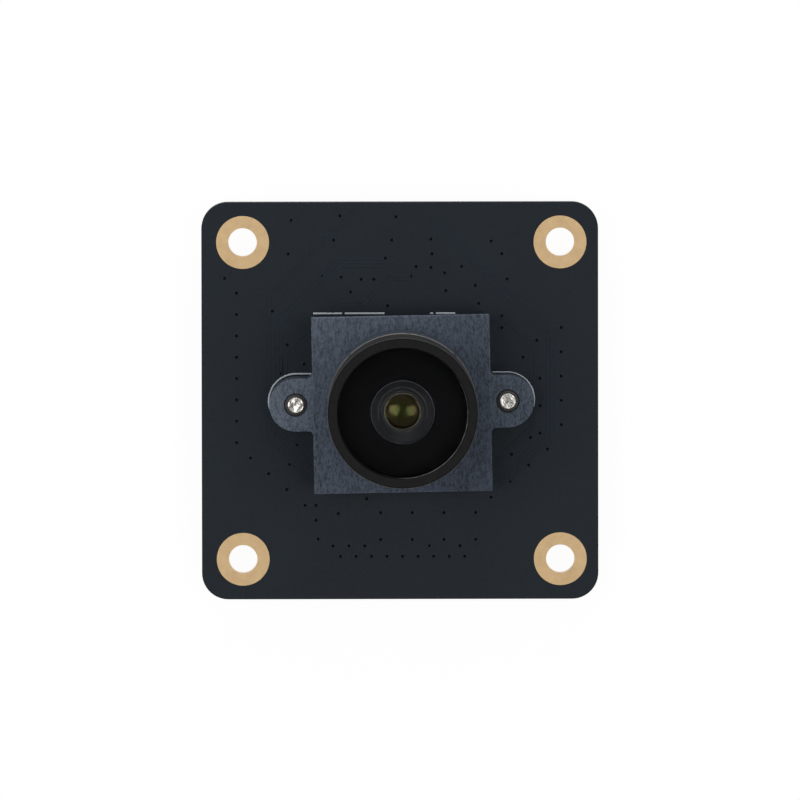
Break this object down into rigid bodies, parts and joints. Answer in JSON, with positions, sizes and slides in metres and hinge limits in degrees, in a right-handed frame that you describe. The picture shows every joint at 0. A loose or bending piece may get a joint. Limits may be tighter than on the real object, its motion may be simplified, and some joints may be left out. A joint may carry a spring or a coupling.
{
  "type": "board camera module",
  "caption": "Square board camera: image sensor and screw-focus wide-angle lens in a metal holder on a black circuit board with plated corner holes and a rear wire connector.",
  "frame": {"origin": "centre of the pattern of four mounting holes, on the circuit board's back face", "axes": "+Z is the optical axis, out of the lens; +X is to the right and +Y up as seen from the front, with the connector's mouth facing -Y on the back"},
  "size_m": [0.0375, 0.0376, 0.0276],
  "materials": {
    "solder_mask": "matte black solder mask over glass-fibre laminate",
    "gold_plating": "thin immersion gold over copper",
    "sensor_ceramic": "dark unglazed ceramic",
    "silicon": "polished silicon",
    "clear_glass": "polished cover glass",
    "coated_glass": "polished, green-yellow anti-reflection coat",
    "filter_glass": "polished blue-green infrared-cut glass",
    "holder_metal": "brushed die-cast metal, dark blue-grey",
    "screw_steel": "nickel-plated steel",
    "black_anodised": "satin black anodised aluminium",
    "ring_metal": "black-finished brass with bright worn edges",
    "front_ring_black": "matte black anodised aluminium",
    "stop_black": "matte black",
    "spacer_black": "matte black anodised aluminium",
    "chip_plastic": "matte moulded epoxy",
    "tinned_leads": "matte tin plating",
    "crystal_ceramic": "tan ceramic",
    "crystal_metal": "brushed nickel lid",
    "ferrite": "dark sintered ferrite",
    "copper_wire": "enamelled copper",
    "tantalum_case": "moulded ochre epoxy",
    "capacitor_ceramic": "sintered brown ceramic",
    "resistor_body": "black glass coat on ceramic",
    "connector_nylon": "natural cream nylon",
    "contact_metal": "tin-plated phosphor bronze"
  },
  "bodies": {
    "board_body": {"board": "solder_mask", "plated_holes": "gold_plating", "sensor_package": "sensor_ceramic", "sensor_die": "silicon", "sensor_window": "clear_glass", "lens_holder": "holder_metal", "holder_screws": "screw_steel", "processor": "chip_plastic", "processor_leads": "tinned_leads", "flash_chip": "chip_plastic", "flash_leads": "tinned_leads", "regulators": "chip_plastic", "regulator_leads": "tinned_leads", "crystal_base": "crystal_ceramic", "crystal_lid": "crystal_metal", "choke_shield": "ferrite", "choke_core": "ferrite", "choke_winding": "copper_wire", "choke_terminals": "tinned_leads", "tantalum_capacitors": "tantalum_case", "tantalum_terminals": "tinned_leads", "ceramic_capacitors": "capacitor_ceramic", "ceramic_capacitor_ends": "tinned_leads", "chip_resistors": "resistor_body", "chip_resistor_ends": "tinned_leads", "connector_housing": "connector_nylon", "connector_pins": "contact_metal", "connector_tabs": "contact_metal"},
    "lens_body": {"lens_barrel": "black_anodised", "front_ring": "front_ring_black", "front_glass": "clear_glass", "cone_baffle": "spacer_black", "second_glass": "coated_glass", "front_spacer": "spacer_black", "third_glass": "coated_glass", "aperture_stop": "stop_black", "middle_spacer": "spacer_black", "doublet_crown": "coated_glass", "doublet_flint": "coated_glass", "rear_spacer": "spacer_black", "rear_glass": "coated_glass", "rear_ring": "black_anodised", "infrared_filter": "filter_glass"},
    "lock_body": {"lock_ring": "ring_metal"}
  },
  "joints": [
    {"name": "focus_turn", "type": "hinge", "parent": "board_body", "child": "lens_body", "pos_m": [0, 0, 0.0076], "axis": [0, 0, 1], "range_deg": [-270, 270]},
    {"name": "lock_turn", "type": "hinge", "parent": "lens_body", "child": "lock_body", "pos_m": [0, 0, 0.0139], "axis": [0, 0, 1], "range_deg": [0, 280]}
  ]
}
